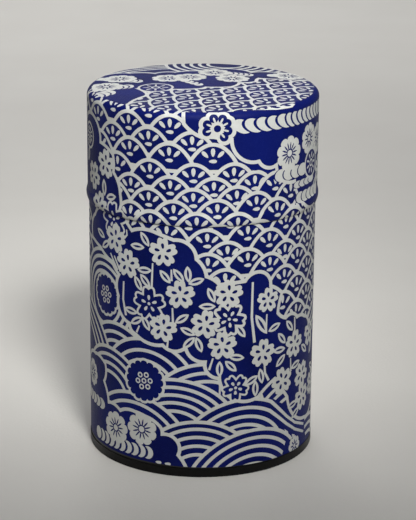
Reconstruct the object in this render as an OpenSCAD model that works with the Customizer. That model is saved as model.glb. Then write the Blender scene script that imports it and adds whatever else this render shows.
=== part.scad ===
// Round tea and spice tin covered in printed washi paper.
// A papered tinplate body stands on a black enamelled bottom end. A bright inner can
// runs up inside it and stands proud as a neck. A flat inner lid drops into the mouth
// of the neck, and a tall papered outer lid slides down over it to meet the body.
// Origin: centre of the resting face. +Z is the tin's axis, upwards. Units: mm.

/* [Overall] */
// Height of the closed tin
total_h = 129.7; // [110:0.1:150]
// Diameter of the papered outer lid
lid_d = 80; // [60:0.5:100]
// Diameter of the papered body
body_d = 79.1; // [59:0.1:99]
// Height of the outer lid's lower edge above the table
lid_edge_z = 90; // [70:0.5:100]

/* [Sheet and paper] */
// Thickness of the tinplate
sheet = 0.35; // [0.25:0.05:0.5]
// Thickness of the glued paper
paper = 0.2; // [0.1:0.05:0.3]
// Width of the lapped side seams
lap_w = 4; // [3:0.5:6]

/* [Outer lid] */
// Radius of the lid's rounded shoulder, over the paper
shoulder_r = 2.6; // [1.5:0.1:5]
// Rise of the lid's dome from the shoulder to the centre
dome_rise = 1; // [0.5:0.1:4]
// Angle round the shoulder, from the side, at which the side paper meets the top paper
paper_joint_angle = 70; // [45:1:80]
// Height of the bead that swells round the lid's lower edge
bead_h = 4.2; // [3:0.1:6]
// How far the bead swells outwards
bead_out = 0.45; // [0.2:0.05:0.8]
// Height of the hem folded inwards at the lid's lower edge
lid_hem_h = 2.5; // [1.5:0.1:2.8]
// Length of the top plate's flange inside the lid's side wall
flange_h = 2; // [1:0.5:6]

/* [Body and bottom end] */
// Height of the bottom end's outer skirt
skirt_h = 3.1; // [2:0.1:3.5]
// Height of the paper's lower edge above the table
paper_edge_z = 3.7; // [3.6:0.1:6]
// Height of the recess under the bottom panel
bottom_recess = 2.4; // [1:0.1:2.6]
// Radius of the stiffening ring pressed into the bottom panel
panel_ring_r = 30; // [20:0.5:32]

/* [Neck] */
// Height of the neck above the outer lid's lower edge
neck_h = 24; // [16:0.5:26]
// Height of the hem folded inwards at the neck's mouth
neck_hem_h = 2.6; // [1.5:0.1:4]

/* [Inner lid] */
// Depth of the inner lid's pan below its flange
pan_depth = 8; // [5:0.5:12]
// Radius of the pan's bottom corner
pan_corner_r = 1.6; // [0.8:0.1:3]
// Diameter of the knob's head
knob_d = 16; // [12:0.5:22]
// Height of the knob above the pan's floor
knob_h = 12; // [9:0.5:14]
// Diameter of the rivet that holds the knob
rivet_d = 3; // [2:0.1:4]
// Diameter of the washer under the pan's floor
washer_d = 10; // [7:0.5:14]

/* [Fits] */
// Radial clearance of each lid on the neck's hems
lid_clearance = 0.2; // [0.15:0.05:0.4]
// Gap between the body's top edge and the outer lid
seam_gap = 0.15; // [0.1:0.05:0.5]
// Assembly gap between parts that are crimped or riveted together
assembly_gap = 0.05; // [0.03:0.01:0.1]

/* [Hidden] */

$fn = 144;
DOME_FN = 1440;

PAPER_COLOUR = "#26357f";
PAPER_TOP_COLOUR = "#4a5596";
TIN_COLOUR = "#c4c6c8";
BLACK_COLOUR = "#161616";
EPS = 0.01;

// Radii, from the outside in
lid_r = lid_d / 2;
lid_shell_r = lid_r - paper;
lid_bore_r = lid_shell_r - sheet;
lid_hem_r = lid_bore_r - sheet;
body_r = body_d / 2;
body_shell_r = body_r - paper;
body_bore_r = body_shell_r - sheet;
neck_r = lid_hem_r - lid_clearance;
neck_bore_r = neck_r - sheet;
neck_hem_r = neck_bore_r - sheet;
pan_r = neck_hem_r - lid_clearance - assembly_gap;
pan_flange_r = neck_r - assembly_gap;
panel_r = neck_bore_r - assembly_gap;
skirt_r = body_shell_r + sheet;
shoulder_x = lid_r - shoulder_r;

// Heights
shoulder_z = total_h - dome_rise - shoulder_r;
shell_foot_z = sheet + assembly_gap;
body_top_z = lid_edge_z - seam_gap;
neck_top_z = lid_edge_z + neck_h;
pan_flange_z = neck_top_z + assembly_gap;
pan_floor_z = pan_flange_z + sheet - pan_depth;

// The dome's arc meets the shoulder in a very slight crease, which it runs a little past
crease = 0.02;
crease_lap = 0.3;
dome_r = (pow(shoulder_x, 2) + pow(dome_rise + crease, 2)) / (2 * (dome_rise + crease));

// The bead's arc, which bulges by bead_out over a chord of bead_h
bead_arc_r = (pow(bead_h / 2, 2) + pow(bead_out, 2)) / (2 * bead_out);
bead_arc_x = lid_shell_r + bead_out - bead_arc_r;
bead_arc_z = lid_edge_z + bead_h / 2;

// Knob: foot, waist and head
knob_foot_r = 6.5;
knob_foot_h = 1.6;
knob_head_h = 4.4;
knob_waist_r = 3.6;
knob_edge_r = 1.2;
rivet_depth = 5;
rivet_head_r = 3;
rivet_head_h = 1;
washer_h = 0.5;

// Panel ring: a shallow arc pressed downwards
ring_arc_r = 3.2;
ring_drop = 0.5;

// Half section of a tube wall
module wall(r_in, r_out, z_low, z_high) {
    translate([r_in, z_low]) square([r_out - r_in, z_high - z_low]);
}

// Half section of one layer of the lid's rounded shoulder, between two depths from the
// paper's surface and between two angles above the horizontal
module shoulder_layer(depth_out, depth_in, angle_low, angle_high) {
    big = 2 * shoulder_r;
    translate([shoulder_x, shoulder_z]) intersection() {
        difference() {
            circle(r = shoulder_r - depth_out);
            circle(r = shoulder_r - depth_in);
        }
        rotate(angle_low) square(big);
        rotate(angle_high - 90) square(big);
    }
}

// Half section of one layer of the lid's dome, between two depths from the paper's surface
module dome_layer(depth_out, depth_in) {
    intersection() {
        translate([0, total_h - dome_r]) difference() {
            circle(r = dome_r - depth_out, $fn = DOME_FN);
            circle(r = dome_r - depth_in, $fn = DOME_FN);
        }
        wall(0, shoulder_x + crease_lap, shoulder_z, total_h + 1);
    }
}

// Half section of one layer of the lid's bead, between two depths from the tin's surface
module bead_layer(depth_in, depth_out) {
    intersection() {
        translate([bead_arc_x, bead_arc_z]) difference() {
            circle(r = bead_arc_r + depth_out);
            circle(r = bead_arc_r + depth_in);
        }
        wall(lid_bore_r, lid_r + 2 * bead_out, lid_edge_z, lid_edge_z + bead_h);
    }
}

// Straight lap strip on the inside of a tube's wall, at the back
module side_lap(r_in, r_out, z_low, z_high) {
    intersection() {
        rotate_extrude() wall(r_in, r_out, z_low, z_high);
        translate([-lap_w / 2, 0, z_low]) cube([lap_w, r_out + 1, z_high - z_low]);
    }
}

// Black enamelled bottom: skirt, flat foot ring and raised panel with a pressed ring
module bottom_end() {
    foot_in_r = panel_r - sheet;
    color(BLACK_COLOUR) rotate_extrude() {
        wall(body_shell_r, skirt_r, sheet, skirt_h);
        wall(foot_in_r + sheet, body_shell_r, 0, sheet);
        translate([body_shell_r, sheet]) intersection() {
            circle(r = sheet);
            translate([0, -sheet]) square(sheet);
        }
        translate([panel_r, sheet]) intersection() {
            circle(r = sheet);
            translate([-sheet, -sheet]) square(sheet);
        }
        wall(foot_in_r, panel_r, sheet, bottom_recess + sheet);
        difference() {
            wall(0, panel_r, bottom_recess, bottom_recess + sheet);
            wall(panel_ring_r - ring_arc_r, panel_ring_r + ring_arc_r,
                 bottom_recess - EPS, bottom_recess + sheet + EPS);
        }
        panel_ring();
    }
}

// Half section of the pressed ring: an arc of sheet that drops by ring_drop
module panel_ring() {
    arc_r = (pow(ring_arc_r, 2) + pow(ring_drop, 2)) / (2 * ring_drop);
    translate([panel_ring_r, bottom_recess + arc_r - ring_drop]) intersection() {
        difference() {
            circle(r = arc_r, $fn = DOME_FN);
            circle(r = arc_r - sheet, $fn = DOME_FN);
        }
        translate([-ring_arc_r - EPS, -arc_r]) square([2 * ring_arc_r + 2 * EPS, arc_r / 2]);
    }
}

// Outer tinplate tube of the body
module body_shell() {
    color(TIN_COLOUR) rotate_extrude()
        wall(body_bore_r, body_shell_r, shell_foot_z, body_top_z);
}

// Paper round the body
module body_paper() {
    color(PAPER_COLOUR) rotate_extrude()
        wall(body_shell_r, body_r, paper_edge_z, body_top_z - assembly_gap);
}

// Bright inner can: its upper end is the neck, hemmed inwards at the mouth
module inner_can() {
    color(TIN_COLOUR) {
        rotate_extrude() {
            wall(neck_bore_r, neck_r, shell_foot_z, neck_top_z - sheet);
            wall(neck_hem_r, neck_bore_r, neck_top_z - neck_hem_h, neck_top_z - sheet);
            translate([neck_bore_r, neck_top_z - sheet]) intersection() {
                circle(r = sheet);
                translate([-sheet, -EPS]) square([2 * sheet, sheet + EPS]);
            }
        }
        side_lap(neck_hem_r, neck_bore_r + EPS, bottom_recess + 2 * sheet,
                 neck_top_z - neck_hem_h);
    }
}

// Inner lid: a shallow pan whose flange rests on the neck
module inner_lid_pan() {
    wall_top = pan_flange_z + sheet;
    color(TIN_COLOUR) difference() {
        rotate_extrude() {
            difference() {
                pan_half(pan_r, pan_floor_z, pan_corner_r, wall_top);
                pan_half(pan_r - sheet, pan_floor_z + sheet, pan_corner_r - sheet, wall_top + 1);
            }
            wall(pan_r - sheet, pan_flange_r - sheet / 2, pan_flange_z, wall_top);
            translate([pan_flange_r - sheet / 2, pan_flange_z + sheet / 2]) circle(d = sheet);
        }
        translate([0, 0, pan_floor_z - 1]) cylinder(d = rivet_d + 2 * assembly_gap, h = sheet + 2);
    }
}

// Half section of a solid pan with a rounded bottom corner
module pan_half(r, floor_z, corner, z_high) {
    wall(0, r - corner, floor_z, z_high);
    wall(0, r, floor_z + corner, z_high);
    translate([r - corner, floor_z + corner]) circle(r = corner);
}

// Turned knob: a flat foot, a hollow waist and a rounded head, drilled for its rivet
module inner_lid_knob() {
    knob_r = knob_d / 2;
    foot_z = pan_floor_z + sheet + assembly_gap;
    head_z = knob_h - knob_head_h;
    waist_h = head_z - knob_foot_h;
    waist_arc_r = waist_h / 2;
    color(BLACK_COLOUR) translate([0, 0, foot_z]) difference() {
        rotate_extrude() {
            wall(0, knob_foot_r, 0, knob_foot_h);
            difference() {
                wall(0, knob_waist_r + waist_arc_r, knob_foot_h - EPS, head_z + EPS);
                translate([knob_waist_r + waist_arc_r, knob_foot_h + waist_arc_r])
                    circle(r = waist_arc_r);
            }
            wall(0, knob_r - knob_edge_r, head_z, knob_h - knob_edge_r);
            wall(0, knob_r, head_z + knob_edge_r, knob_h - knob_edge_r - knob_edge_r);
            translate([knob_r - knob_edge_r, head_z + knob_edge_r]) circle(r = knob_edge_r);
            translate([knob_r - knob_edge_r, knob_h - 2 * knob_edge_r]) circle(r = knob_edge_r);
            knob_crown(knob_r - knob_edge_r);
        }
        translate([0, 0, -1]) cylinder(d = rivet_d + 2 * assembly_gap, h = rivet_depth + 1);
    }
}

// Half section of the knob's shallow crown
module knob_crown(r) {
    crown_r = (pow(r, 2) + pow(knob_edge_r, 2)) / (2 * knob_edge_r);
    intersection() {
        translate([0, knob_h - crown_r]) circle(r = crown_r, $fn = DOME_FN);
        wall(0, r, knob_h - knob_edge_r - EPS, knob_h);
    }
}

// Rivet: a shank up into the knob and a low round head under the washer
module knob_rivet() {
    head_z = pan_floor_z - washer_h - 2 * assembly_gap;
    shank_top_z = pan_floor_z + sheet + rivet_depth - 2 * assembly_gap;
    head_arc_r = (pow(rivet_head_r, 2) + pow(rivet_head_h, 2)) / (2 * rivet_head_h);
    color(TIN_COLOUR) {
        translate([0, 0, head_z - EPS]) cylinder(d = rivet_d, h = shank_top_z - head_z);
        rotate_extrude() intersection() {
            translate([0, head_z - rivet_head_h + head_arc_r]) circle(r = head_arc_r);
            wall(0, rivet_head_r, head_z - rivet_head_h, head_z);
        }
    }
}

// Washer between the pan's floor and the rivet's head
module knob_washer() {
    color(TIN_COLOUR) translate([0, 0, pan_floor_z - assembly_gap - washer_h]) difference() {
        cylinder(d = washer_d, h = washer_h);
        translate([0, 0, -1]) cylinder(d = rivet_d + 2 * assembly_gap, h = washer_h + 2);
    }
}

// Side wall of the outer lid: bead and inward hem at its lower edge, lapped at the back
module lid_shell() {
    color(TIN_COLOUR) {
        rotate_extrude() {
            wall(lid_bore_r, lid_shell_r, lid_edge_z + bead_h - EPS, shoulder_z);
            bead_layer(-sheet, 0);
            wall(lid_hem_r, lid_bore_r, lid_edge_z + sheet, lid_edge_z + lid_hem_h);
            translate([lid_bore_r, lid_edge_z + sheet]) intersection() {
                circle(r = sheet);
                translate([-sheet, -sheet]) square([2 * sheet, sheet + EPS]);
            }
        }
        side_lap(lid_hem_r, lid_bore_r + EPS, lid_edge_z + bead_h,
                 shoulder_z - flange_h - sheet);
    }
}

// Domed top plate of the outer lid, with a flange inside the side wall
module lid_top() {
    bore_corner_r = shoulder_r - paper - sheet;
    flange_rise = sqrt(pow(bore_corner_r, 2) - pow(bore_corner_r - sheet, 2)) + assembly_gap;
    color(TIN_COLOUR) rotate_extrude() {
        shoulder_layer(paper, paper + sheet, 0, 90);
        dome_layer(paper, paper + sheet);
        wall(lid_hem_r, lid_bore_r, shoulder_z - flange_h, shoulder_z + flange_rise);
    }
}

// Paper round the outer lid, from the bead's lower edge over the shoulder
module lid_side_paper() {
    color(PAPER_COLOUR) rotate_extrude() {
        bead_layer(0, paper);
        wall(lid_shell_r, lid_r, lid_edge_z + bead_h - EPS, shoulder_z);
        shoulder_layer(0, paper, 0, paper_joint_angle);
    }
}

// Round paper on the outer lid's top, from just inside the side paper's edge. Over the dome
// its underside stays clear of the top plate, whose shoulder stands higher at the crease
module lid_top_paper() {
    color(PAPER_TOP_COLOUR) rotate_extrude() {
        shoulder_layer(0, paper, paper_joint_angle + 1, 90);
        dome_layer(0, paper - 2 * crease);
    }
}

bottom_end();
body_shell();
body_paper();
inner_can();
inner_lid_pan();
inner_lid_knob();
knob_rivet();
knob_washer();
lid_shell();
lid_top();
lid_side_paper();
lid_top_paper();
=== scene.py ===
"""Looks of the round tin covered in printed washi paper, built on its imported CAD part.

The print is drawn flat, in millimetres, as shapes in painting order: fans, ripples, clouds and
flowers in the paper's off-white ground colour and in indigo ink. A triangulation that keeps every
outline turns it into one sheet, which is then wrapped round the body, round the lid and over the
lid's top. Bare tinplate and black enamel are CAD nodes that only get materials.
"""

import math

import bpy
import numpy as np
from mathutils import Matrix, Vector
from mathutils.geometry import delaunay_2d_cdt


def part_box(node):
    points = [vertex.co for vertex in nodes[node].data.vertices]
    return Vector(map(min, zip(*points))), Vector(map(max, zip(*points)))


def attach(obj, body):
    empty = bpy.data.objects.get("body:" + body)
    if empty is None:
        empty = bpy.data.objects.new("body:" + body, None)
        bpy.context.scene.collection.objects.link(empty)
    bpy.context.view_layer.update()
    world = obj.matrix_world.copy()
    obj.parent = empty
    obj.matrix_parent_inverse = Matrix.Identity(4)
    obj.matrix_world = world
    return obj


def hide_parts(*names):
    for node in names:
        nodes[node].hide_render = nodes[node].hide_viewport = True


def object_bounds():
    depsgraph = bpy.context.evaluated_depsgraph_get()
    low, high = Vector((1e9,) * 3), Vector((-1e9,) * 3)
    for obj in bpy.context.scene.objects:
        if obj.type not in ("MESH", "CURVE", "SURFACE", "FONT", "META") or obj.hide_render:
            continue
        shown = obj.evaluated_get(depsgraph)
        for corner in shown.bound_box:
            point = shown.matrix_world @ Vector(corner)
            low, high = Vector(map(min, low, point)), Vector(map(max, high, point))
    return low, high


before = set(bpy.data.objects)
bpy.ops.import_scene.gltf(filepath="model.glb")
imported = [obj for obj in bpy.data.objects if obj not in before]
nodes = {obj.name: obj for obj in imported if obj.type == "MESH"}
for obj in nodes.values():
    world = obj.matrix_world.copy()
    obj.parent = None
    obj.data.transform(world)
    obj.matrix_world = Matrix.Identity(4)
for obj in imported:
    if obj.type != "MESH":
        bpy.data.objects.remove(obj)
CAD_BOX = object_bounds()
MM = 0.001

# ---------------------------------------------------------------- sizes, in mm


def cad_radius(node):
    low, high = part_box(node)
    return (high.x - low.x) / 2 / MM


def cad_heights(node):
    low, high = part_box(node)
    return low.z / MM, high.z / MM


BODY_R = cad_radius("body_paper")
BODY_LOW, BODY_HIGH = cad_heights("body_paper")
PAPER = BODY_R - cad_radius("body_shell")
LID_R = cad_radius("lid_top") + PAPER
LID_LOW = cad_heights("lid_side_paper")[0]
TOP_Z = cad_heights("lid_top_paper")[1]
BEAD_H = 4.2                    # height of the bead at the lid's lower edge
BEAD_OUT = cad_radius("lid_side_paper") - LID_R
SHOULDER_R = 2.6
DOME_RISE = 1.0
JOINT_ANGLE = math.radians(70)  # where side paper and top paper meet, round the shoulder
EDGE_SLANT = 0.5                # the body paper's lower edge is cut a little off level,
SLANT_FADE = 10                 # and the print above it levels out over this height
BLACK_FOOT = 6                  # the shell is lacquered black up to this height

SHOULDER_X = LID_R - SHOULDER_R
SHOULDER_Z = TOP_Z - DOME_RISE - SHOULDER_R
DOME_R = (SHOULDER_X**2 + DOME_RISE**2) / (2 * DOME_RISE)
BEAD_ARC_R = (BEAD_H**2 / 4 + BEAD_OUT**2) / (2 * BEAD_OUT)

# ---------------------------------------------------------------- outlines of the print's motifs

GROUND, INK = 0, 1   # also the order of a printed sheet's two materials
LINE = 1.25          # width of the print's usual white line
SAGITTA = 0.015      # how far a drawn arc may stray from a true one
ARC_STEP = 2.8       # a lobe's arc takes steps of this times sqrt(SAGITTA / radius)
LEAST_BULGE = 0.05   # a lobe that swells less is drawn straight
LEAST_COSINE = 0.55  # limits how far a sharp corner's mitre reaches
BLUNTNESS = 0.25     # how much wider a drop is towards its far end

PETAL = 2 * math.pi / 5  # angle between the petals of a cherry blossom
NOTCH_W = 0.13           # half the width of the notch in a petal's tip, as a share of PETAL

FAN_REACH = 10.2                    # half width of a fan, most of which its neighbours cover
FAN_STEPS = 28
FAN_SAG, FAN_CURL = 0.084, 0.00016  # the fall of its edge, with u squared and u to the fourth
FAN_PETALS = ((2.9, 1.4, 0, -3.3, 90), (2.9, 1.3, -2.6, -4.0, 135), (2.9, 1.3, 2.6, -4.0, 45),
              (2.7, 1.25, 0, -6.3, 0))  # each petal's length, width, place and tilt


def arc(x, y, r, start, end):
    """Points along an arc, from one angle to another in degrees."""
    step = math.degrees(2 * math.acos(1 - min(SAGITTA / r, 0.3)))
    n = max(4, math.ceil(abs(end - start) / step))
    angles = [math.radians(start + (end - start) * i / n) for i in range(n + 1)]
    return [(x + r * math.cos(a), y + r * math.sin(a)) for a in angles]


def disk(x, y, r):
    return arc(x, y, r, 0, 360)[:-1]


def turned(points, x, y, angle):
    """The points turned about the origin by angle degrees, then moved to x, y."""
    c, s = math.cos(math.radians(angle)), math.sin(math.radians(angle))
    return [(x + c * u - s * v, y + s * u + c * v) for u, v in points]


def polar(radius, n):
    """Outline whose radius is a function of the angle in radians."""
    angles = [2 * math.pi * i / n for i in range(n)]
    return [(radius(a) * math.cos(a), radius(a) * math.sin(a)) for a in angles]


def drop(length, width, n=14):
    """Egg shape along +X, blunt at its far end."""
    angles = [2 * math.pi * i / n for i in range(n)]
    return [(length / 2 * math.cos(a), width / 2 * math.sin(a) * (1 + BLUNTNESS * math.cos(a)))
            for a in angles]


def five_petals(r, notch, valley):
    """Outline of a cherry blossom, whose petals have straight sides and rounded tips. notch is
    how deep each tip is cut, valley how far from the middle the petals part, as shares of r."""

    def edge(a):
        w = abs((a / PETAL + 0.5) % 1 - 0.5)
        side = math.sin(w * PETAL) / (valley * math.sin(PETAL / 2))
        return r * (1 - notch * max(0, 1 - w / NOTCH_W) ** 1.5) * (1 + side ** 8) ** (-1 / 8)

    return polar(edge, 90)


def lens(length, width):
    """Pointed leaf shape along X: two equal arcs."""
    h = length / 2
    r = (h * h + width * width / 4) / width
    half = math.degrees(math.asin(h / r))
    return (arc(0, width / 2 - r, r, 90 - half, 90 + half)[:-1]
            + arc(0, r - width / 2, r, 270 - half, 270 + half)[:-1])


def lobed(corners):
    """Closed outline, counter-clockwise, from corners (x, y, bulge). From each corner an arc
    runs to the next one and swells outwards by bulge."""
    points = []
    for (x0, y0, bulge), (x1, y1, _) in zip(corners, corners[1:] + corners[:1]):
        points.append((x0, y0))
        if abs(bulge) < LEAST_BULGE:
            continue
        half = math.hypot(x1 - x0, y1 - y0) / 2
        r = (half**2 + bulge**2) / (2 * abs(bulge))
        sweep = 2 * math.asin(min(1, half / r))
        if abs(bulge) > half:
            sweep = 2 * math.pi - sweep
        n = max(3, math.ceil(sweep * math.sqrt(r / SAGITTA) / ARC_STEP))
        side = math.copysign(1, bulge)
        along = math.atan2(y1 - y0, x1 - x0)
        centre_off = side * (r - abs(bulge))
        cx = (x0 + x1) / 2 - centre_off * math.sin(along)
        cy = (y0 + y1) / 2 + centre_off * math.cos(along)
        first = math.atan2(y0 - cy, x0 - cx)
        points += [(cx + r * math.cos(first + side * sweep * i / n),
                    cy + r * math.sin(first + side * sweep * i / n)) for i in range(1, n)]
    return points


def grown(points, out):
    """The outline moved outwards by out, with its corners mitred up to a limit."""
    moved = []
    for i, (x, y) in enumerate(points):
        px, py = points[i - 1]
        nx, ny = points[(i + 1) % len(points)]
        a, b = math.atan2(y - py, x - px), math.atan2(ny - y, nx - x)
        turn = (b - a + math.pi) % (2 * math.pi) - math.pi
        reach = out / max(LEAST_COSINE, math.cos(turn / 2))
        normal = a + turn / 2 - math.pi / 2
        moved.append((x + reach * math.cos(normal), y + reach * math.sin(normal)))
    return moved


def at(x, y, angle, reach):
    """The place at a distance from x, y in the direction of angle, in degrees."""
    a = math.radians(angle)
    return x + reach * math.cos(a), y + reach * math.sin(a)


def evenly(count, first=0):
    """Angles spread evenly round a circle, in degrees."""
    return [first + 360 * k / count for k in range(count)]


class Drawing:
    """Shapes of the print in painting order, each an outline and its colour."""

    def __init__(self):
        self.shapes = []

    def paint(self, colour, points):
        self.shapes.append((colour, points))

    def spokes(self, colour, shape, x, y, reach, angles, lean=0):
        """The shape repeated round x, y at a distance, pointing outwards but for lean."""
        for angle in angles:
            self.paint(colour, turned(shape, *at(x, y, angle, reach), angle + lean))

    def fan(self, x, y, angle=0, line=LINE):
        """Fish-scale fan whose arc's top is at x, y, with three petals over one."""
        outline = [(u, -FAN_SAG * u**2 - FAN_CURL * u**4)
                   for u in (FAN_REACH * (1 - 2 * i / FAN_STEPS) for i in range(FAN_STEPS + 1))]
        self.paint(GROUND, turned(outline, x, y, angle))
        self.paint(INK, turned(grown(outline, -line), x, y, angle))
        for length, width, u, v, tilt in FAN_PETALS:
            self.paint(GROUND, turned(turned(drop(length, width), u, v, tilt), x, y, angle))

    def fans(self, tops, angle=0, **how):
        """Many fans, each row laid over the one above it."""
        up = math.radians(angle + 90)
        for x, y in sorted(tops, key=lambda p: -(p[0] * math.cos(up) + p[1] * math.sin(up))):
            self.fan(x, y, angle, **how)

    def ripple(self, x, y, radii):
        """Concentric rings round x, y, given by their outer radii from the largest."""
        for r in radii:
            self.paint(GROUND, disk(x, y, r))
            self.paint(INK, disk(x, y, r - LINE))

    def cloud(self, corners, line=LINE):
        """Dark patch with a white line along its lobed edge."""
        outline = lobed(corners)
        self.paint(GROUND, grown(outline, line / 2))
        self.paint(INK, grown(outline, -line / 2))

    def blossom(self, x, y, angle=90, r=5):
        """White five-petalled blossom with a slot in each petal."""
        self.paint(GROUND, turned(five_petals(r * 1.02, 0.11, 0.65), x, y, angle))
        self.spokes(INK, drop(r * 0.4, 1.1, 10), x, y, r * 0.43, evenly(5, angle), 8)

    def outlined_blossom(self, x, y, angle=90, r=6.5, line=0.75):
        """Blossom drawn as an outline, with white stamens round a white dot."""
        outline = turned(five_petals(r, 0.09, 0.7), x, y, angle)
        self.paint(GROUND, outline)
        self.paint(INK, grown(outline, -line))
        self.spokes(GROUND, drop(r * 0.3, 1.05, 10), x, y, r * 0.34, evenly(5, angle))
        self.paint(GROUND, disk(x, y, 0.55))

    def big_blossom(self, x, y, lobes):
        """Blossom of round lobes at the given angles, in a thick outline, each with a white
        ray, round a ringed dark middle."""
        self.paint(GROUND, disk(x, y, 3.6))
        for colour, reach, r in ((GROUND, 3.9, 2.6), (INK, 3.65, 1.5)):
            for angle in lobes:
                self.paint(colour, disk(*at(x, y, angle, reach), r))
        self.spokes(GROUND, drop(2.4, 0.7, 8), x, y, 2.8, lobes)
        self.paint(GROUND, disk(x, y, 2.1))
        self.paint(INK, disk(x, y, 1.2))

    def chrysanthemum(self, x, y, r=6.0, petals=9, rays=12, turn=0):
        """White scalloped flower with a ring and fine rays round its centre."""
        def edge(a):
            return r * (0.83 + 0.17 * math.sqrt(abs(math.cos(a * petals / 2))))

        self.paint(GROUND, turned(polar(edge, petals * 10), x, y, turn))
        self.paint(INK, disk(x, y, r * 0.27))
        self.paint(GROUND, disk(x, y, r * 0.19))
        self.spokes(INK, drop(r * 0.42, 0.6, 8), x, y, r * 0.44, evenly(rays, turn), 180)

    def medallion(self, x, y, r):
        """Dark scalloped round with a white outline and seven small rings."""
        scallops = 16

        def edge(a):
            return r * (0.9 + 0.11 * math.sqrt(abs(math.cos(a * scallops / 2))))

        inner = turned(polar(edge, scallops * 8), x, y, 0)
        self.paint(GROUND, grown(inner, 0.9))
        self.paint(INK, inner)
        for spot in [(x, y)] + [at(x, y, angle, 2.45) for angle in evenly(6, 8)]:
            self.paint(GROUND, disk(*spot, 1.0))
            self.paint(INK, disk(*spot, 0.5))

    def leaf(self, x, y, angle, length=5.8, width=2.55):
        """White leaf with a dark slot along its middle."""
        self.paint(GROUND, turned(lens(length, width), x, y, angle))
        self.paint(INK, turned(lens(length * 0.64, width * 0.3), x, y, angle))

    def stem(self, points, width=0.8):
        """Slightly tapered stroke along a few points."""
        left, right = [], []
        for i, (x, y) in enumerate(points):
            x0, y0 = points[max(i - 1, 0)]
            x1, y1 = points[min(i + 1, len(points) - 1)]
            a = math.atan2(y1 - y0, x1 - x0) + math.pi / 2
            w = width / 2 * (0.7 + 0.3 * i / (len(points) - 1))
            left.append((x + w * math.cos(a), y + w * math.sin(a)))
            right.append((x - w * math.cos(a), y - w * math.sin(a)))
        self.paint(GROUND, right + left[::-1])

    def crescents(self, x, y, count, step, height, rise=0, lean=0.0, line=0.6):
        """Row of overlapping rounds, each edged in ink on the side it comes from. lean pushes
        their lower ends forward."""
        side = math.copysign(1, step)
        width = max(abs(step) * 1.5, height * 0.8)
        for k in range(count):
            oval = [(width * (0.5 * math.cos(a) + 0.32 * side) - lean * height / 2 * math.sin(a),
                     height / 2 * math.sin(a)) for a in (math.pi * i / 14 for i in range(28))]
            oval = turned(oval, x + k * step, y + k * rise, 0)
            self.paint(INK, [(u - side * line, v) for u, v in oval])
            self.paint(GROUND, oval)

    def daisy(self, x, y, r=4.6, petals=9):
        """Dark round edged in white, with white petals round a dark centre."""
        self.paint(GROUND, disk(x, y, r + 0.8))
        self.paint(INK, disk(x, y, r))
        self.spokes(GROUND, drop(r * 0.46, 0.8, 8), x, y, r * 0.6, evenly(petals))
        self.paint(GROUND, disk(x, y, r * 0.3))
        self.paint(INK, disk(x, y, r * 0.17))


# ---------------------------------------------------------------- the print itself
# x is the distance round the tin to the right of its front, y the height. One repeat is drawn,
# about 124 wide; what reaches past its ends comes in again at the other side.


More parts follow.
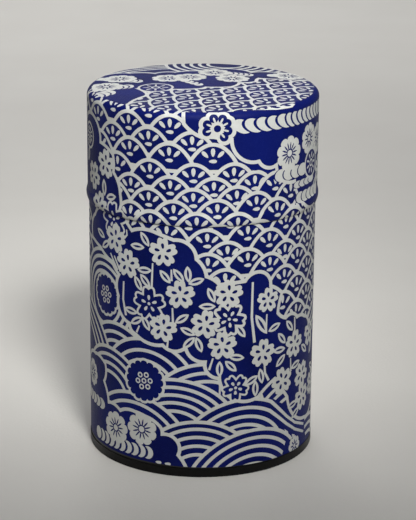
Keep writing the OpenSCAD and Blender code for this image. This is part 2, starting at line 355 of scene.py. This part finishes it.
def draw_body():
    d = Drawing()
    d.fans([(-27, 93), (-20, 97), (-12, 91.5), (-4.5, 95.5), (1.7, 89.4), (9.5, 96),
            (15.7, 91.3), (24.5, 97), (31.5, 93), (39, 97), (46, 93), (54, 97), (61, 92),
            (24.1, 87.8), (38.5, 87.6), (53, 88), (68, 87.6), (8.6, 84.9), (2, 81), (15.8, 82),
            (31.3, 82.5), (45.6, 83.3), (60, 83), (24.5, 79.2), (38.3, 79.2), (53, 78.8),
            (67.6, 78.8), (7.9, 75.4), (31.2, 73.6), (45.5, 74.2), (60, 74), (38.3, 69.1),
            (52.8, 69.4), (67.4, 69.4), (30.6, 64.4), (45.6, 64.4), (60, 64.3), (38.2, 59.4),
            (52.8, 59.8), (45.6, 54.8), (60, 54.8)])

    # Ripples below the flower cloud, from the furthest to the nearest
    d.ripple(-40, 59, (17.6, 15.1, 12.6, 10))
    d.ripple(-33, 34, (18, 14.8, 11.6))
    d.ripple(-20, 29.5, (19.6, 15.6, 12))
    d.ripple(-60, 30, (26, 23, 20, 17))
    d.ripple(2, 20, (22, 18.8, 15.8))
    d.ripple(-37, 23.5, (18.8, 16, 13, 10))
    d.ripple(-9, 12, (24, 21.2, 18.4, 15.6, 12.6))
    d.ripple(-25, 6, (22.6, 19.3, 16))
    d.ripple(36, 12, (19.4, 16.4, 13.2))
    d.ripple(50, -8, (24, 21, 18, 15))
    d.ripple(15, 4, (24.3, 21.2, 18, 15, 12.6))
    # The last one's two outer lines run on straight to the right
    d.paint(INK, [(26.6, 26), (47, 12.6), (47, 6), (37, 10), (31, 14.3), (26.4, 19)])
    d.stem([(46, 10.8), (39, 13.6), (34, 17.4), (30, 21.2), (26, 25)], 1.3)
    d.stem([(46, 8), (39, 11.2), (34, 14.6), (30, 18), (25.3, 21.9)], 1.3)
    d.ripple(-1, -1, (22, 19.4, 16.4, 13.2, 10))
    d.ripple(19, -9, (25.5, 22.6, 19.5, 16.4, 13.3, 10))
    d.medallion(-20.4, 33.4, r=7.3)
    d.medallion(-38.9, 60.4, r=6.9)

    # Flower cloud
    d.cloud([(-23.6, 49.6, 1.2), (-13.3, 47.4, 1.7), (-5.3, 47.2, 1.6), (1.3, 42.2, 1.8),
             (6.2, 36.2, 4.3), (20.5, 27.8, -0.4), (27.5, 33, 0), (34, 24.6, 3),
             (46, 13.2, 3), (57, 20, 3), (62, 34, 2.5), (58, 47, 0), (49.3, 45.8, 1.3),
             (44.5, 51.4, 0.6), (39, 52.6, 1.4), (32.5, 54, -0.4), (28.4, 56.7, -0.3),
             (30.2, 63.6, 0.3), (25, 67, 4.2), (15, 70.2, 0), (6, 69.6, 0.4),
             (1.6, 72.6, 0.7), (-1.8, 78.6, 2.3), (-9.5, 84.9, 0), (-16, 86.9, 0.9),
             (-25.3, 86.2, 0), (-29.5, 90.6, 2), (-40, 91.4, 1), (-47, 87, 2),
             (-50, 78, 0), (-42, 76.3, 0.4), (-35, 73.2, 0.3), (-31.3, 69.4, 1.1),
             (-31.6, 61.8, 2.2), (-26.4, 53, 0.8)])
    d.stem([(-29, 67.5), (-29.3, 61), (-28, 55.5)], 1)
    d.stem([(-17, 76), (-17.4, 67.5)])
    d.stem([(-10.3, 74.5), (-10.2, 70.5)])
    d.stem([(-9.9, 61), (-9.7, 56)])
    d.stem([(-11.4, 49.5), (-11.8, 46)])
    d.stem([(17.8, 69.5), (17.6, 57), (18.8, 47.8)], 1.1)
    d.stem([(23.6, 57.2), (23.3, 50.5)])
    d.stem([(22.8, 41), (23.2, 36), (24.8, 33)], 1)
    d.stem([(4, 43.5), (2.7, 39.3)])
    d.stem([(6.6, 37.5), (6.4, 30)], 0.7)
    d.stem([(35.5, 38.5), (35.8, 33.5)])
    d.stem([(37.5, 53), (37.7, 47.5)], 1)
    d.stem([(-33.7, 75.5), (-30.5, 70.5)], 0.9)
    d.stem([(-35.8, 76), (-32, 70.8)], 0.9)
    d.stem([(-27.6, 86), (-27.4, 84.2), (-28.6, 82.9)])
    d.stem([(-22.2, 53), (-23.4, 50.4)])
    for x, y, angle in (
            (-42, 81.5, 160), (-38.7, 78.4, 35), (-23, 81, 0), (-20, 84, -55),
            (-20.2, 73.1, 5), (-19.9, 69.4, -48), (-22.7, 68, -60), (-12.5, 71.8, -48),
            (-7.8, 72.6, -50), (-4.6, 73.2, 95), (-1.8, 70.8, 20), (-25.8, 57.7, -8),
            (-19.6, 54.3, -60), (-23.4, 54.6, 30), (-6.6, 57.4, 35), (-4.6, 53, -25),
            (-4.2, 49, 45), (-0.8, 48.4, -70), (3.3, 66, -65), (1.9, 62, 0),
            (13.6, 52.6, -55), (30.6, 47, -50), (12.2, 43.3, -10), (6.3, 39.5, 90),
            (10.2, 40.3, -45), (17.8, 34.2, 30), (21.6, 35.2, 100), (19.4, 31, 90),
            (27, 51.8, 20), (29.5, 43, 0), (30.2, 39, 40), (34.6, 50.6, -50),
            (38.6, 35.3, 15), (44.8, 39.5, -40), (37.2, 20.8, 10), (39.2, 17.2, 30),
            (52, 38, 60), (54, 30, -30)):
        d.leaf(x, y, angle)
    d.leaf(21.4, 53.9, -58, 9, 3.2)
    d.outlined_blossom(-33.8, 88.4, 95)
    d.outlined_blossom(-18.4, 61.5, 92, 6.3)
    d.outlined_blossom(9.5, 57.2, 61, 6.2, 0.95)
    d.outlined_blossom(12, 32.3, 52, 5.1, 0.7)
    for x, y, angle in ((-33.2, 81.8, 80), (-27.2, 74.2, 85), (-13.3, 80.3, 92),
                        (-7.2, 65.9, 93), (-13.3, 53.6, 80), (1.3, 55.7, 78), (9.2, 66.2, 86),
                        (7.2, 47.9, 92), (22.2, 43.4, 85), (37.6, 43.2, 80), (31.2, 31.3, 105),
                        (43.2, 30.3, 60), (43.8, 22, 100), (50, 44, 90), (54, 24, 70)):
        d.blossom(x, y, angle)
    d.blossom(24, 62.2, 86, 4.4)

    # Dark clouds at the foot, the left one with chrysanthemums
    d.cloud([(-4.2, 1, 0.5), (-7.7, 7.8, 2.9), (-13.4, 15, 0.4), (-14.6, 18, 0.8),
             (-22, 20.6, 1.2), (-31, 20, 0.8), (-37.5, 21.2, 0.6), (-40.5, 28, 0.9),
             (-39.5, 34.6, 1), (-48, 36, 2), (-58, 30, 2), (-64, 22, 2), (-66, 1, 0)])
    d.crescents(-41, 19, 5, -3.4, 4, line=0.8)
    d.crescents(-17.6, 7.1, 10, -2.9, 4.8, line=1)
    d.chrysanthemum(-33.4, 12.9, 6, turn=8)
    d.chrysanthemum(-21.4, 15.4, 6, turn=20)
    d.chrysanthemum(-51, 28, 5)
    for x, y in ((-14.8, 4.2), (-11.4, 4.1)):
        d.paint(GROUND, turned(drop(2.2, 1.1), x, y, 0))
    d.cloud([(30.5, 1, 0.3), (33.8, 7.6, 0.6), (40, 9, 0.8), (47, 7.6, 0.6), (52, 1, 0)], 1)
    d.chrysanthemum(39, 5.2, 3.6, petals=8, rays=8)
    return d.shapes


def draw_lid_side():
    d = Drawing()
    d.fans([(-49, 133), (-33.8, 132.8), (-18.6, 133), (-58, 128), (-11, 128.2),
            (-26.5, 127.8), (-43.2, 127.8), (-3.5, 132), (-18.6, 123.4), (-34, 122.8),
            (-50, 123), (-3.5, 122.7), (-26, 119), (-11.2, 118.6), (3.4, 118.7),
            (-41.6, 118.6), (-18, 112.4), (-31.6, 112.9), (-3, 111.9), (10.5, 111.9),
            (-25.6, 106.5), (-10.8, 107.3), (3.8, 107.2), (18, 108.6), (-18.5, 102.6),
            (-3, 103.4), (11.6, 104), (26.2, 107.4), (-33, 103), (-9.6, 99), (5, 99.7),
            (-25.5, 97), (18.7, 101.4), (33.5, 103.6), (-1.8, 95.2), (-17.6, 94.9),
            (12, 94.8), (27, 98.2), (40, 97), (-32, 93), (-9.5, 90), (5.5, 91), (20, 91.5),
            (34.5, 93.8), (48, 94)])

    # Right cloud: a white patch on the shoulder, a band of crescents that starts at a blossom,
    # chrysanthemums, and smaller bands below them
    d.cloud([(-7, 134, 0), (-6.3, 125, 0.6), (0, 120.5, -0.5), (9.6, 119.6, 3),
             (19.4, 111.4, 1.5), (26.5, 109.2, 0.6), (29, 103.6, 0.6), (35.6, 102, 0.8),
             (39, 95.5, 2), (50, 90.5, 2), (62, 92, 2), (66, 104, 3), (66, 134, 0)])
    d.paint(GROUND, [(17, 130), (20, 129), (27, 128), (34, 127.7), (36.5, 128.6), (34, 130)])
    for x, y in ((21.8, 129.5), (27.2, 129), (32.4, 128.9)):
        d.paint(INK, turned(lens(3.6, 0.9), x, y, -12))
    d.crescents(11.2, 123.8, 5, 4.2, 5, lean=0.5, line=1.1)
    d.crescents(31.6, 123.7, 10, 2.9, 5, lean=0.4, line=0.9)
    d.big_blossom(4.8, 123.4, (110, 62, 28, -14, -52, 157, 196))
    d.paint(INK, turned(lens(3, 0.6), 18.3, 108.7, 0))
    d.crescents(27, 105.2, 4, 3.8, 4.4)
    d.crescents(36, 100.4, 4, 3.2, 2.6)
    d.crescents(37.5, 95.6, 5, 3.4, 4)
    d.chrysanthemum(32.6, 112.2, 6, turn=5, rays=14)
    d.chrysanthemum(44.8, 115, 5.4)
    d.chrysanthemum(54, 113, 5.6, turn=14)
    d.daisy(47, 106)
    d.blossom(57, 101.5, 80)
    d.leaf(52, 98, 30)

    # Left cloud, with blossoms and a daisy
    d.cloud([(-56, 86, 0), (-30.6, 91, 0.5), (-30.4, 98, 0.8), (-33.8, 105, 0.4),
             (-34, 111, 0.6), (-41.6, 113.8, 0.8), (-44, 120, 1.2), (-53, 121.6, 1.5),
             (-60, 114, 1.5), (-61.5, 102, 1.5), (-60, 92, 0.5)])
    d.leaf(-39.2, 98.5, 93, 6, 2.8)
    d.leaf(-35.2, 96, 15, 5.6, 2.6)
    d.blossom(-38.2, 107, 85)
    d.blossom(-42, 91.5, 80)
    d.outlined_blossom(-33.8, 88.4, 95)
    d.daisy(-52, 114, 4, 11)
    d.blossom(-47.2, 101, 60)
    d.leaf(-53.5, 107, 70)
    return d.shapes


def draw_lid_top():
    """x to the right and y away from the front, from the lid's axis."""
    d = Drawing()
    d.ripple(-10, 0, (41, 38.2, 35.4, 32.6, 29.8, 27))
    d.ripple(26, 30, (22, 19, 16, 13, 10))
    d.ripple(8, 35, (22, 19, 16, 13, 10, 7))
    fans_turn = 61
    first = at(3, -24.5, 90 + fans_turn, 4.2)
    along, across = (-0.9, 9.4), (8, 5)  # from one fan to its two neighbours
    tops = [(first[0] + i * along[0] + j * across[0], first[1] + i * along[1] + j * across[1])
            for i in range(-6, 8) for j in range(-5, 7)]
    on_lid = [t for t in tops if math.hypot(*t) < 47]
    in_front = [t for t in on_lid if t[1] < 0.45 * t[0] + 10]
    d.fans(in_front, fans_turn, line=1.05)
    d.cloud([(-50, -40, 0), (-27, -33, 0), (-24.5, -27, -0.6), (-19.5, -18, 0.6),
             (-19.5, -13, 0.3), (-22.5, -7, 0), (-10, -9, 0.3), (-1.5, -8.2, 0.4),
             (1, -5.6, 0.5), (9.5, -4.6, 0.8), (12.5, 2.4, 0.8), (18.5, 5, -0.4),
             (19.5, 10.6, 0.5), (27, 10.5, 1), (37, 12, 2), (45, 22, 0), (28, 22, 1.5),
             (17, 21, 1.2), (10, 27, 1.5), (1, 22, 1.2), (-10, 19.5, 1.5),
             (-17, 17.5, 1.2), (-26, 19, 1.5), (-34, 17.5, 2), (-50, 20, 0)])
    d.crescents(-21.5, 4.5, 8, -1.9, 5, 0.8)
    d.crescents(-24.5, -3.5, 7, -1.9, 6, -0.6)
    d.crescents(-30.5, -12, 3, -1.9, 7, -2)
    d.crescents(-0.5, -1.5, 4, -1.6, 4, 2)
    d.crescents(17, 16, 8, -1.8, 5, 0.6)
    d.crescents(37, 16.5, 7, -1.9, 5)
    d.daisy(-16.2, -6, 5.4, 8)
    for x, y, turn in ((-29, 9.3, 0), (-33.3, -2.8, 12), (-12, 8.8, 6), (-4.6, 10.6, 20),
                       (10.2, 9, 10), (30, 17, 0), (4, 19, 8)):
        d.chrysanthemum(x, y, 6, turn=turn)
    return d.shapes


# ---------------------------------------------------------------- from drawing to sheet

CDT_EPS = 1e-4      # mm within which the triangulation joins points
REPEATS = 2         # times that the print's repeat goes round the tin
STRIPS = 60         # flat strips across one repeat
BEAD_ROWS = 6       # bends of the lid's side print up the bead
SHOULDER_ROWS = 8   # and up the shoulder
RING_STEP = 3       # degrees between the points of a ring on the lid's top


def signed_area(points):
    return sum(points[i - 1][0] * p[1] - p[0] * points[i - 1][1] for i, p in enumerate(points)) / 2


def inside(points, xs, ys):
    """Which of the places xs, ys a counter-clockwise outline goes round."""
    x0, y0 = np.array(points).T[:, :, None]
    x1, y1 = np.roll(x0, -1, 0), np.roll(y0, -1, 0)
    left = (x1 - x0) * (ys - y0) - (y1 - y0) * (xs - x0)
    upward = (y0 <= ys) & (ys < y1) & (left > 0)
    downward = (y1 <= ys) & (ys < y0) & (left < 0)
    return upward.sum(0) > downward.sum(0)


def triangulate(shapes, border, extra_lines, within):
    """Triangles of the drawing inside a border, with the colour that was painted last on each."""
    verts, edges = [], []

    def add(points, closed=True):
        first, n = len(verts), len(points)
        verts.extend(Vector(p) for p in points)
        edges.extend((first + i, first + (i + 1) % n) for i in range(n if closed else n - 1))

    add(border)
    for _, points in shapes:
        add(points)
    for line in extra_lines:
        add(line, closed=False)
    out, _, tris, *_ = delaunay_2d_cdt(verts, edges, [], 0, CDT_EPS, False)
    out, tris = np.array([tuple(v) for v in out]), np.array([tuple(t) for t in tris])
    centres = out[tris].mean(1)
    tris = tris[within(centres[:, 0], centres[:, 1])]
    centres = out[tris].mean(1)
    order = np.argsort(centres[:, 0])
    tris, xs, ys = tris[order], centres[order, 0], centres[order, 1]
    colours = np.full(len(tris), INK)
    for colour, points in shapes:
        if signed_area(points) < 0:
            points = points[::-1]
        (x_low, y_low), (x_high, y_high) = np.min(points, 0), np.max(points, 0)
        first, last = np.searchsorted(xs, (x_low, x_high))
        near = first + np.flatnonzero((ys[first:last] >= y_low) & (ys[first:last] <= y_high))
        colours[near[inside(points, xs[near], ys[near])]] = colour
    return out, tris.tolist(), colours.tolist()


def printed_mesh(name, flat, place, copies):
    """Wraps copies of a flat sheet and joins them. place(x, y, copy) gives a point's place on
    the tin and its normal."""
    points, tris, inks = flat
    used = sorted({i for tri in tris for i in tri})
    index, verts, normals, faces, colours = {}, [], [], [], []
    for copy in range(copies):
        ids = {}
        for i in used:
            p, n = place(points[i][0], points[i][1], copy)
            key = tuple(round(c, 4) for c in p)
            if key not in index:
                index[key] = len(verts)
                verts.append([c * MM for c in p])
                normals.append(n)
            ids[i] = index[key]
        for tri, ink in zip(tris, inks):
            face = tuple(ids[i] for i in tri)
            if len(set(face)) == 3:
                faces.append(face)
                colours.append(ink)
    return mesh_object(name, verts, faces, normals, colours)


def mesh_object(name, verts, faces, normals=None, colours=None):
    mesh = bpy.data.meshes.new(name)
    mesh.from_pydata(verts, [], faces)
    mesh.polygons.foreach_set("use_smooth", [True] * len(mesh.polygons))
    if colours:
        mesh.polygons.foreach_set("material_index", colours)
    if normals:
        mesh.normals_split_custom_set_from_vertices(normals)
    obj = bpy.data.objects.new(name, mesh)
    bpy.context.scene.collection.objects.link(obj)
    return obj


def repeated(shapes, width):
    """The shapes with the neighbouring repeats' shapes that reach into this one."""
    out = []
    for colour, points in shapes:
        low, high = min(p[0] for p in points), max(p[0] for p in points)
        for k in (-1, 0, 1):
            if low + k * width < width / 2 and high + k * width > -width / 2:
                out.append((colour, [(x + k * width, y) for x, y in points]))
    return out


def wrap(name, shapes, radius, low, high, rows, profile):
    """Sheet round the tin. profile(y, angle) gives a point's radius, height and slope."""
    width = 2 * math.pi * radius / REPEATS
    half = width / 2
    shapes = [s for s in repeated(shapes, width)
              if max(p[1] for p in s[1]) > low and min(p[1] for p in s[1]) < high]
    border = [(-half, low), (half, low), (half, high), (-half, high)]
    lines = [[(-half + width * i / STRIPS, low), (-half + width * i / STRIPS, high)]
             for i in range(1, STRIPS)]
    lines += [[(-half, y), (half, y)] for y in rows]
    flat = triangulate(shapes, border, lines,
                       lambda x, y: (abs(x) < half) & (low < y) & (y < high))

    def place(x, y, copy):
        angle = (x + copy * width) / radius - math.pi / 2
        r, z, tilt = profile(y, angle)
        c, s = math.cos(angle), math.sin(angle)
        return (r * c, r * s, z), (c * math.cos(tilt), s * math.cos(tilt), math.sin(tilt))

    return printed_mesh(name, flat, place, REPEATS)


def body_profile(y, angle):
    """Straight wall, whose lower edge is a little off level."""
    near_foot = max(0, 1 - (y - BODY_LOW) / SLANT_FADE)
    return BODY_R, y - EDGE_SLANT * math.cos(angle) * near_foot, 0


def lid_profile(y, angle):
    """y is measured along the surface once it turns over the shoulder."""
    if y < LID_LOW + BEAD_H:
        rise = y - LID_LOW - BEAD_H / 2
        r = LID_R + math.sqrt(BEAD_ARC_R**2 - rise**2) - BEAD_ARC_R + BEAD_OUT
        return r, y, math.asin(rise / BEAD_ARC_R)
    if y < SHOULDER_Z:
        return LID_R, y, 0
    tilt = (y - SHOULDER_Z) / SHOULDER_R
    return SHOULDER_X + SHOULDER_R * math.cos(tilt), SHOULDER_Z + SHOULDER_R * math.sin(tilt), tilt


def place_on_top(x, y, _):
    """The distance from the lid's axis is measured along the surface over the shoulder."""
    flat_r, angle = math.hypot(x, y), math.atan2(y, x)
    if flat_r > SHOULDER_X:
        tilt = math.pi / 2 - (flat_r - SHOULDER_X) / SHOULDER_R
        r = SHOULDER_X + SHOULDER_R * math.cos(tilt)
        z = SHOULDER_Z + SHOULDER_R * math.sin(tilt)
    else:
        r, tilt = flat_r, math.pi / 2 - flat_r / DOME_R
        z = TOP_Z - DOME_R + math.sqrt(DOME_R**2 - r * r)
    c, s = math.cos(angle), math.sin(angle)
    return (r * c, r * s, z), (c * math.cos(tilt), s * math.cos(tilt), math.sin(tilt))


def ring(r):
    """Points round the lid's top; the last is the first again."""
    return [(r * math.cos(a), r * math.sin(a))
            for a in map(math.radians, range(0, 361, RING_STEP))]


def make_prints():
    body = wrap("body_print", draw_body(), BODY_R, BODY_LOW, BODY_HIGH, [], body_profile)
    side_top = SHOULDER_Z + SHOULDER_R * JOINT_ANGLE
    rows = [LID_LOW + BEAD_H * i / BEAD_ROWS for i in range(1, BEAD_ROWS + 1)]
    rows += [SHOULDER_Z + SHOULDER_R * JOINT_ANGLE * i / SHOULDER_ROWS
             for i in range(SHOULDER_ROWS)]
    side = wrap("lid_side_print", draw_lid_side(), LID_R, LID_LOW, side_top, rows, lid_profile)
    top_r = SHOULDER_X + SHOULDER_R * (math.pi / 2 - JOINT_ANGLE)
    shapes = [s for s in draw_lid_top() if min(math.hypot(*p) for p in s[1]) < top_r]
    bends = [ring(SHOULDER_X), ring((SHOULDER_X + top_r) / 2)]
    flat = triangulate(shapes, ring(top_r)[:-1], bends, lambda x, y: np.hypot(x, y) < top_r)
    top = printed_mesh("lid_top_print", flat, place_on_top, 1)
    return body, side, top


# ---------------------------------------------------------------- materials
# Noise scales are per metre and bump distances in metres.


class Nodes:
    """Short way to build a node material."""

    def __init__(self, name):
        self.material = bpy.data.materials.new(name)
        self.material.use_nodes = True
        self.tree = self.material.node_tree
        self.shader = self.tree.nodes["Principled BSDF"]
        self.place = self.add("ShaderNodeTexCoord").outputs["Object"]

    def add(self, kind, **inputs):
        node = self.tree.nodes.new(kind)
        for key, value in inputs.items():
            self.put(node.inputs[key.replace("_", " ")], value)
        return node

    def put(self, socket, value):
        if isinstance(value, bpy.types.NodeSocket):
            self.tree.links.new(value, socket)
        else:
            socket.default_value = value

    def noise(self, scale, detail=3, stretch=(1, 1, 1), distortion=0.0, roughness=0.5):
        mapping = self.add("ShaderNodeMapping", Vector=self.place, Scale=stretch)
        return self.add("ShaderNodeTexNoise", Vector=mapping.outputs[0], Scale=scale,
                        Detail=detail, Distortion=distortion, Roughness=roughness).outputs[0]

    def ramp(self, factor, low, high, out_low=0.0, out_high=1.0):
        node = self.add("ShaderNodeMapRange", Value=factor)
        for i, value in enumerate((low, high, out_low, out_high)):
            node.inputs[i + 1].default_value = value
        return node.outputs[0]

    def mix(self, factor, a, b):
        node = self.add("ShaderNodeMix")
        node.data_type = "RGBA"
        self.put(node.inputs[0], factor)
        self.put(node.inputs[6], a)
        self.put(node.inputs[7], b)
        return node.outputs[2]

    def maths(self, operation, a, b):
        node = self.add("ShaderNodeMath")
        node.operation = operation
        self.put(node.inputs[0], a)
        self.put(node.inputs[1], b)
        return node.outputs[0]

    def height(self):
        return self.add("ShaderNodeSeparateXYZ", Vector=self.place).outputs["Z"]

    def bump(self, height, distance):
        node = self.add("ShaderNodeBump", Height=height, Distance=distance, Strength=1.0)
        self.put(self.shader.inputs["Normal"], node.outputs[0])

    def set(self, **inputs):
        for key, value in inputs.items():
            self.put(self.shader.inputs[key.replace("_", " ")], value)
        return self.material


def rgb(r, g, b):
    """Linear colour from 0 to 255 display values."""
    return tuple((c / 255 / 12.92 if c < 10 else ((c / 255 + 0.055) / 1.055) ** 2.4)
                 for c in (r, g, b)) + (1.0,)


def paper_relief(n):
    """Long soft fibres of washi, crossing over a fine tooth."""
    fibres = n.noise(420, 4, (1, 1, 5), 2.2, 0.6)
    crossing = n.noise(380, 4, (3, 3, 0.8), 2.5, 0.6)
    tooth = n.noise(2600, 2)
    return fibres, crossing, tooth


def make_ground():
    n = Nodes("washi_ground")
    fibres, crossing, tooth = paper_relief(n)
    warm = n.mix(n.ramp(n.noise(60, 4), 0.35, 0.7), rgb(208, 211, 209), rgb(198, 199, 195))
    threads = n.ramp(n.maths("MINIMUM", fibres, crossing), 0.36, 0.5, 0.0, 0.35)
    colour = n.mix(threads, rgb(178, 178, 172), warm)
    n.bump(n.maths("ADD", fibres, n.maths("MULTIPLY", tooth, 0.5)), 0.00006)
    return n.set(Base_Color=n.mix(0.35, colour, warm),
                 Roughness=n.ramp(crossing, 0.3, 0.7, 0.5, 0.66), Specular_IOR_Level=0.3)


def make_ink():
    n = Nodes("indigo_ink")
    fibres, crossing, tooth = paper_relief(n)
    deep = n.mix(n.ramp(n.noise(45, 5), 0.35, 0.68), rgb(4, 13, 73), rgb(8, 21, 94))
    worn = n.ramp(n.maths("MULTIPLY", fibres, tooth), 0.3, 0.46, 0.0, 0.32)
    speckle = n.ramp(n.noise(1500, 3), 0.62, 0.76, 0.0, 0.26)
    colour = n.mix(n.maths("MAXIMUM", worn, speckle), deep, rgb(34, 46, 118))
    n.bump(n.maths("ADD", fibres, n.maths("MULTIPLY", tooth, 0.5)), 0.00005)
    return n.set(Base_Color=colour, Roughness=n.ramp(crossing, 0.3, 0.7, 0.42, 0.56),
                 Specular_IOR_Level=0.08)


def make_tinplate():
    n = Nodes("tinplate_bright")
    brushed = n.noise(40, 3, (6, 6, 90), 0.2)
    spangle = n.noise(120, 4)
    bright = (232, 233, 234)
    dull = (c * 0.93 for c in bright)
    n.bump(brushed, 0.00002)
    return n.set(Base_Color=n.mix(n.ramp(spangle, 0.3, 0.72), rgb(*dull), rgb(*bright)),
                 Metallic=1.0,
                 Roughness=n.maths("ADD", n.ramp(spangle, 0.3, 0.7, 0.24, 0.31),
                                   n.ramp(brushed, 0.3, 0.7, 0.0, 0.08)))


def enamel_inputs(n):
    """Orange-peel relief and the colour of black enamel under a little dust."""
    peel = n.noise(700, 3)
    dust = n.ramp(n.noise(240, 5, distortion=1.0), 0.55, 0.8, 0.0, 0.5)
    colour = n.mix(dust, rgb(4, 4, 4), rgb(11, 11, 11))
    return peel, colour


def make_enamel():
    n = Nodes("black_enamel_satin")
    peel, colour = enamel_inputs(n)
    n.bump(peel, 0.00004)
    return n.set(Base_Color=colour, Roughness=n.ramp(n.noise(90, 4), 0.3, 0.7, 0.36, 0.5),
                 Specular_IOR_Level=0.18)


def make_shell_finish():
    """Bare tinplate, lacquered black near the foot, where it shows below the paper."""
    n = Nodes("tinplate_black_foot")
    peel, black = enamel_inputs(n)
    foot = n.ramp(n.height(), BLACK_FOOT * MM, (BLACK_FOOT + 0.2) * MM, 1.0, 0.0)
    spangle = n.mix(n.ramp(n.noise(120, 4), 0.3, 0.72), rgb(204, 206, 208), rgb(222, 223, 224))
    n.bump(peel, 0.00003)
    return n.set(Base_Color=n.mix(foot, spangle, black), Metallic=n.maths("SUBTRACT", 1.0, foot),
                 Roughness=n.ramp(foot, 0, 1, 0.28, 0.36))


def dress(obj, *materials):
    """Gives the object these materials, and keeps which face has which."""
    slots = obj.data.materials
    for i, material in enumerate(materials):
        if i < len(slots):
            slots[i] = material
        else:
            slots.append(material)


def make_floor_material():
    n = Nodes("pale_floor")
    grain = n.noise(900, 3)
    tone = n.mix(n.noise(14, 4), rgb(204, 201, 196), rgb(212, 210, 205))
    n.bump(grain, 0.00008)
    return n.set(Base_Color=tone, Roughness=0.8, Specular_IOR_Level=0.25)


# ---------------------------------------------------------------- the object

body_print, side_print, top_print = make_prints()
ground, ink = make_ground(), make_ink()
for piece, node, body in ((body_print, "body_paper", "can"),
                          (side_print, "lid_side_paper", "outer_lid"),
                          (top_print, "lid_top_paper", "outer_lid")):
    dress(piece, ground, ink)
    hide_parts(node)
    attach(piece, body)

tinplate, enamel = make_tinplate(), make_enamel()
for name in ("inner_can", "inner_lid_pan", "knob_rivet", "knob_washer", "lid_shell", "lid_top"):
    dress(nodes[name], tinplate)
for name in ("bottom_end", "inner_lid_knob"):
    dress(nodes[name], enamel)
dress(nodes["body_shell"], make_shell_finish())

# ---------------------------------------------------------------- stage, light and camera

FLOOR_HALF = 3.0
CAMERA_DISTANCE = 0.7485
CAMERA_ELEVATION = math.radians(17.58)
AIM_SHARE = 0.478  # height of the orbit's centre as a share of the tin's height
LENS, SENSOR = 146.6, 36
PITCH, YAW, ROLL = (math.radians(a) for a in (0.300, 0.166, 0.424))


def make_stage():
    """A wide flat floor that fills the frame from every side."""
    corners = [(x * FLOOR_HALF, y * FLOOR_HALF, 0)
               for x, y in ((-1, -1), (1, -1), (1, 1), (-1, 1))]
    stage = mesh_object("floor", corners, [(0, 1, 2, 3)])
    dress(stage, make_floor_material())


def area_light(name, location, target, size, power, colour, spread=180):
    data = bpy.data.lights.new(name, "AREA")
    data.shape = "DISK"
    data.size, data.energy, data.color = size, power, colour
    data.spread = math.radians(spread)
    light = bpy.data.objects.new(name, data)
    bpy.context.scene.collection.objects.link(light)
    light.location = location
    light.rotation_mode = "QUATERNION"
    light.rotation_quaternion = (Vector(target) - Vector(location)).to_track_quat("-Z", "Y")


def make_lights(centre):
    """Soft studio light: a small key on the lid, a low fill from the left, a wide ceiling and
    a sheen from behind, and one that keeps the floor behind the tin pale."""
    lid = centre + Vector((0, 0, 0.06))
    area_light("key", (0.09, -0.44, 0.5), lid, 0.16, 0.175, (1.0, 1.0, 0.98), 30)
    area_light("fill", (-0.8, -0.6, 0.5), centre, 0.9, 0.14, (0.94, 0.97, 1.0))
    area_light("ceiling", (0, 0, 2.2), centre, 3, 9, (1.0, 0.99, 0.97))
    area_light("sheen", (0, 1.7, 0.75), centre, 1, 1.2, (0.97, 0.98, 1.0))
    area_light("far_floor", (-0.1, 0.7, 1.3), (-0.1, 0.85, 0), 0.4, 2.6, (1.0, 1.0, 0.99), 90)
    bpy.context.scene.view_settings.view_transform = "Standard"
    world = bpy.data.worlds.new("studio")
    world.use_nodes = True
    background = world.node_tree.nodes["Background"]
    background.inputs["Color"].default_value = (0.86, 0.88, 0.92, 1)
    background.inputs["Strength"].default_value = 0.2
    bpy.context.scene.world = world


def make_camera():
    """Camera on a circle round the tin, then turned a little, as fitted to the photo."""
    low, high = CAD_BOX
    aim = Vector(((low.x + high.x) / 2, (low.y + high.y) / 2,
                  low.z + AIM_SHARE * (high.z - low.z)))
    ce, se = math.cos(CAMERA_ELEVATION), math.sin(CAMERA_ELEVATION)
    right = Vector((1, 0, 0))
    forward = Vector((0, ce, -se))
    up = right.cross(forward)
    forward, up = (math.cos(PITCH) * forward + math.sin(PITCH) * up,
                   math.cos(PITCH) * up - math.sin(PITCH) * forward)
    forward, right = (math.cos(YAW) * forward + math.sin(YAW) * right,
                      math.cos(YAW) * right - math.sin(YAW) * forward)
    right, up = (math.cos(ROLL) * right + math.sin(ROLL) * up,
                 math.cos(ROLL) * up - math.sin(ROLL) * right)
    data = bpy.data.cameras.new("camera")
    data.lens, data.sensor_width = LENS, SENSOR
    data.clip_start = 0.05
    camera = bpy.data.objects.new("camera", data)
    bpy.context.scene.collection.objects.link(camera)
    turn = Matrix((right, up, -forward)).transposed().to_4x4()
    camera.matrix_world = Matrix.Translation(aim - Vector((0, ce, -se)) * CAMERA_DISTANCE) @ turn
    bpy.context.scene.camera = camera


make_stage()
make_lights((CAD_BOX[0] + CAD_BOX[1]) / 2)
make_camera()
